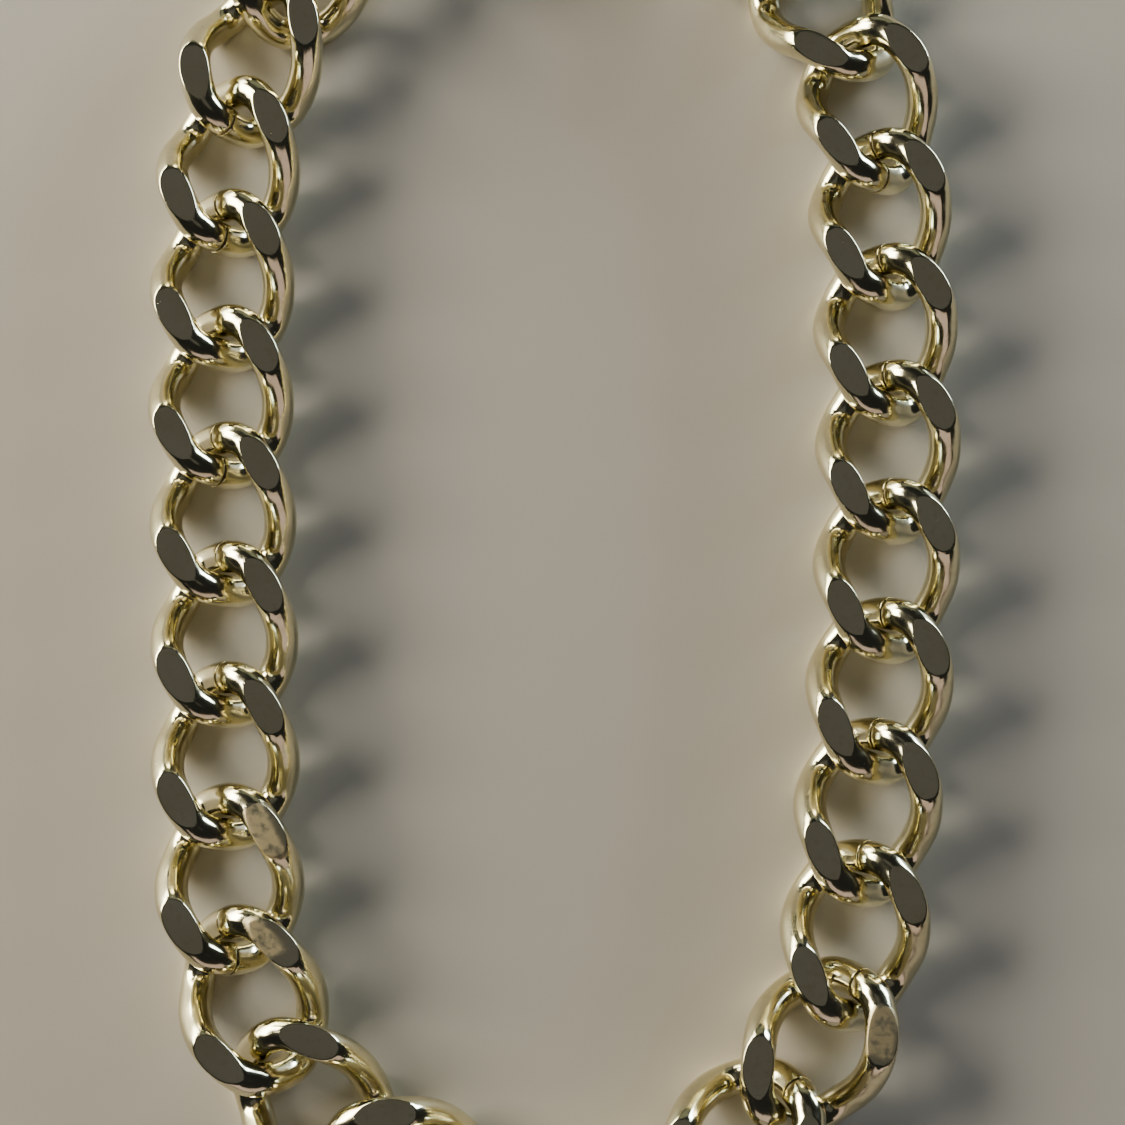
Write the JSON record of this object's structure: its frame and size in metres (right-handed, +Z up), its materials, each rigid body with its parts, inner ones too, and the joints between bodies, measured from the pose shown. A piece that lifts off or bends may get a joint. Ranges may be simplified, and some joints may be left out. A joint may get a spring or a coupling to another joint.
{
  "type": "chain necklace",
  "caption": "Chunky diamond-cut curb chain necklace of twisted round-wire links hooked end to end, with a lobster clasp and a catch ring, lying flat and unfastened.",
  "frame": {"origin": "centre of the bounding box on the ground the chain lies on", "axes": "+Z up, +Y from the front of the neck towards the clasp, +X to the right seen from above"},
  "size_m": [0.1052, 0.2132, 0.0098],
  "materials": {
    "plated_brass": "polished pale gold plate",
    "steel": "bright drawn"
  },
  "bodies": {
    "front_link": {"front_link": "plated_brass"},
    "left_link_01": {"left_link_01": "plated_brass"},
    "left_link_02": {"left_link_02": "plated_brass"},
    "left_link_03": {"left_link_03": "plated_brass"},
    "left_link_04": {"left_link_04": "plated_brass"},
    "left_link_05": {"left_link_05": "plated_brass"},
    "left_link_06": {"left_link_06": "plated_brass"},
    "left_link_07": {"left_link_07": "plated_brass"},
    "left_link_08": {"left_link_08": "plated_brass"},
    "left_link_09": {"left_link_09": "plated_brass"},
    "left_link_10": {"left_link_10": "plated_brass"},
    "left_link_11": {"left_link_11": "plated_brass"},
    "left_link_12": {"left_link_12": "plated_brass"},
    "left_link_13": {"left_link_13": "plated_brass"},
    "right_link_01": {"right_link_01": "plated_brass"},
    "right_link_02": {"right_link_02": "plated_brass"},
    "right_link_03": {"right_link_03": "plated_brass"},
    "right_link_04": {"right_link_04": "plated_brass"},
    "right_link_05": {"right_link_05": "plated_brass"},
    "right_link_06": {"right_link_06": "plated_brass"},
    "right_link_07": {"right_link_07": "plated_brass"},
    "right_link_08": {"right_link_08": "plated_brass"},
    "right_link_09": {"right_link_09": "plated_brass"},
    "right_link_10": {"right_link_10": "plated_brass"},
    "right_link_11": {"right_link_11": "plated_brass"},
    "right_link_12": {"right_link_12": "plated_brass"},
    "right_link_13": {"right_link_13": "plated_brass"},
    "jump_ring": {"jump_ring": "plated_brass"},
    "clasp_swivel": {"clasp_swivel": "plated_brass"},
    "clasp_body": {"clasp_body": "plated_brass", "clasp_pin": "steel", "clasp_spring": "steel"},
    "clasp_lever": {"clasp_lever": "plated_brass"},
    "catch_ring": {"catch_ring": "plated_brass"}
  },
  "joints": [
    {"name": "jump_ring_swing", "type": "hinge", "parent": "left_link_13", "child": "jump_ring", "pos_m": [-0.01317, 0.08234, 0.0049], "axis": [0.3929, -0.5029, 0.7699], "range_deg": [-60, 60]},
    {"name": "clasp_eye_swing", "type": "hinge", "parent": "jump_ring", "child": "clasp_swivel", "pos_m": [-0.00939, 0.08625, 0.00236], "axis": [0.4762, -0.7536, -0.4532], "range_deg": [-60, 60]},
    {"name": "clasp_swivel_spin", "type": "hinge", "parent": "clasp_swivel", "child": "clasp_body", "pos_m": [-0.00766, 0.09078, 0.003], "axis": [0.4695, 0.8829, 0], "continuous": true},
    {"name": "clasp_lever_pivot", "type": "hinge", "parent": "clasp_body", "child": "clasp_lever", "pos_m": [-0.00186, 0.09346, 0.003], "axis": [0, 0, 1], "range_deg": [0, 38], "stiffness_Nm_per_rad": 0.003, "springref_deg": -17.19, "deforming": ["clasp_spring"]},
    {"name": "catch_ring_swing", "type": "hinge", "parent": "right_link_13", "child": "catch_ring", "pos_m": [0.01953, 0.07888, 0.0049], "axis": [0.459, 0.4433, 0.7699], "range_deg": [-60, 60]},
    {"name": "left_fold_01", "type": "hinge", "parent": "front_link", "child": "left_link_01", "pos_m": [-0.01306, -0.09494, 0.0049], "axis": [0.1436, 0.6218, 0.7699], "range_deg": [-6, 60]},
    {"name": "left_fold_02", "type": "hinge", "parent": "left_link_01", "child": "left_link_02", "pos_m": [-0.02659, -0.08732, 0.0049], "axis": [-0.2493, -0.5874, -0.7699], "range_deg": [-60, 6]},
    {"name": "left_fold_03", "type": "hinge", "parent": "left_link_02", "child": "left_link_03", "pos_m": [-0.03685, -0.07576, 0.0049], "axis": [0.459, 0.4433, 0.7699], "range_deg": [-30, 60]},
    {"name": "left_fold_04", "type": "hinge", "parent": "left_link_03", "child": "left_link_04", "pos_m": [-0.04098, -0.06079, 0.0049], "axis": [-0.6034, -0.2078, -0.7699], "range_deg": [-60, 45]},
    {"name": "left_fold_05", "type": "hinge", "parent": "left_link_04", "child": "left_link_05", "pos_m": [-0.04148, -0.04528, 0.0049], "axis": [0.6366, 0.0445, 0.7699], "range_deg": [-60, 60]},
    {"name": "left_fold_06", "type": "hinge", "parent": "left_link_05", "child": "left_link_06", "pos_m": [-0.04195, -0.02979, 0.0049], "axis": [-0.6378, -0.0223, -0.7699], "range_deg": [-60, 60]},
    {"name": "left_fold_07", "type": "hinge", "parent": "left_link_06", "child": "left_link_07", "pos_m": [-0.04218, -0.01429, 0.0049], "axis": [0.6381, 0.0111, 0.7699], "range_deg": [-60, 60]},
    {"name": "left_fold_08", "type": "hinge", "parent": "left_link_07", "child": "left_link_08", "pos_m": [-0.04307, 0.00118, 0.0049], "axis": [-0.6373, -0.0334, -0.7699], "range_deg": [-60, 60]},
    {"name": "left_fold_09", "type": "hinge", "parent": "left_link_08", "child": "left_link_09", "pos_m": [-0.04326, 0.01668, 0.0049], "axis": [0.6381, 0.0111, 0.7699], "range_deg": [-60, 60]},
    {"name": "left_fold_10", "type": "hinge", "parent": "left_link_09", "child": "left_link_10", "pos_m": [-0.04322, 0.03218, 0.0049], "axis": [-0.6382, 0, -0.7699], "range_deg": [-60, 60]},
    {"name": "left_fold_11", "type": "hinge", "parent": "left_link_10", "child": "left_link_11", "pos_m": [-0.04199, 0.04763, 0.0049], "axis": [0.6366, -0.0445, 0.7699], "range_deg": [-45, 60]},
    {"name": "left_fold_12", "type": "hinge", "parent": "left_link_11", "child": "left_link_12", "pos_m": [-0.03669, 0.06221, 0.0049], "axis": [-0.6069, 0.1972, -0.7699], "range_deg": [-60, 30]},
    {"name": "left_fold_13", "type": "hinge", "parent": "left_link_12", "child": "left_link_13", "pos_m": [-0.02562, 0.0731, 0.0049], "axis": [0.4742, -0.427, 0.7699], "range_deg": [-50, 60]},
    {"name": "right_fold_01", "type": "hinge", "parent": "front_link", "child": "right_link_01", "pos_m": [0.00634, -0.09942, 0.0049], "axis": [-0.1436, -0.6218, 0.7699], "range_deg": [-60, 6]},
    {"name": "right_fold_02", "type": "hinge", "parent": "right_link_01", "child": "right_link_02", "pos_m": [0.02031, -0.09336, 0.0049], "axis": [-0.2287, 0.5958, -0.7699], "range_deg": [-6, 60]},
    {"name": "right_fold_03", "type": "hinge", "parent": "right_link_02", "child": "right_link_03", "pos_m": [0.02993, -0.08094, 0.0049], "axis": [0.4512, -0.4512, 0.7699], "range_deg": [-60, 50]},
    {"name": "right_fold_04", "type": "hinge", "parent": "right_link_03", "child": "right_link_04", "pos_m": [0.03812, -0.06789, 0.0049], "axis": [-0.5412, 0.3382, -0.7699], "range_deg": [-30, 60]},
    {"name": "right_fold_05", "type": "hinge", "parent": "right_link_04", "child": "right_link_05", "pos_m": [0.03904, -0.05238, 0.0049], "axis": [0.6334, -0.0778, 0.7699], "range_deg": [-60, 60]},
    {"name": "right_fold_06", "type": "hinge", "parent": "right_link_05", "child": "right_link_06", "pos_m": [0.04093, -0.037, 0.0049], "axis": [-0.6334, 0.0778, -0.7699], "range_deg": [-60, 60]},
    {"name": "right_fold_07", "type": "hinge", "parent": "right_link_06", "child": "right_link_07", "pos_m": [0.04251, -0.02158, 0.0049], "axis": [0.6347, -0.0667, 0.7699], "range_deg": [-60, 60]},
    {"name": "right_fold_08", "type": "hinge", "parent": "right_link_07", "child": "right_link_08", "pos_m": [0.04321, -0.00609, 0.0049], "axis": [-0.6373, 0.0334, -0.7699], "range_deg": [-60, 60]},
    {"name": "right_fold_09", "type": "hinge", "parent": "right_link_08", "child": "right_link_09", "pos_m": [0.0434, 0.00941, 0.0049], "axis": [0.6381, -0.0111, 0.7699], "range_deg": [-60, 60]},
    {"name": "right_fold_10", "type": "hinge", "parent": "right_link_09", "child": "right_link_10", "pos_m": [0.04305, 0.0249, 0.0049], "axis": [-0.6381, -0.0111, -0.7699], "range_deg": [-60, 60]},
    {"name": "right_fold_11", "type": "hinge", "parent": "right_link_10", "child": "right_link_11", "pos_m": [0.04247, 0.04039, 0.0049], "axis": [0.6378, 0.0223, 0.7699], "range_deg": [-60, 60]},
    {"name": "right_fold_12", "type": "hinge", "parent": "right_link_11", "child": "right_link_12", "pos_m": [0.04009, 0.05571, 0.0049], "axis": [-0.6319, -0.0888, -0.7699], "range_deg": [-30, 60]},
    {"name": "right_fold_13", "type": "hinge", "parent": "right_link_12", "child": "right_link_13", "pos_m": [0.03058, 0.068, 0.0049], "axis": [0.5291, 0.3568, 0.7699], "range_deg": [-60, 50]}
  ]
}
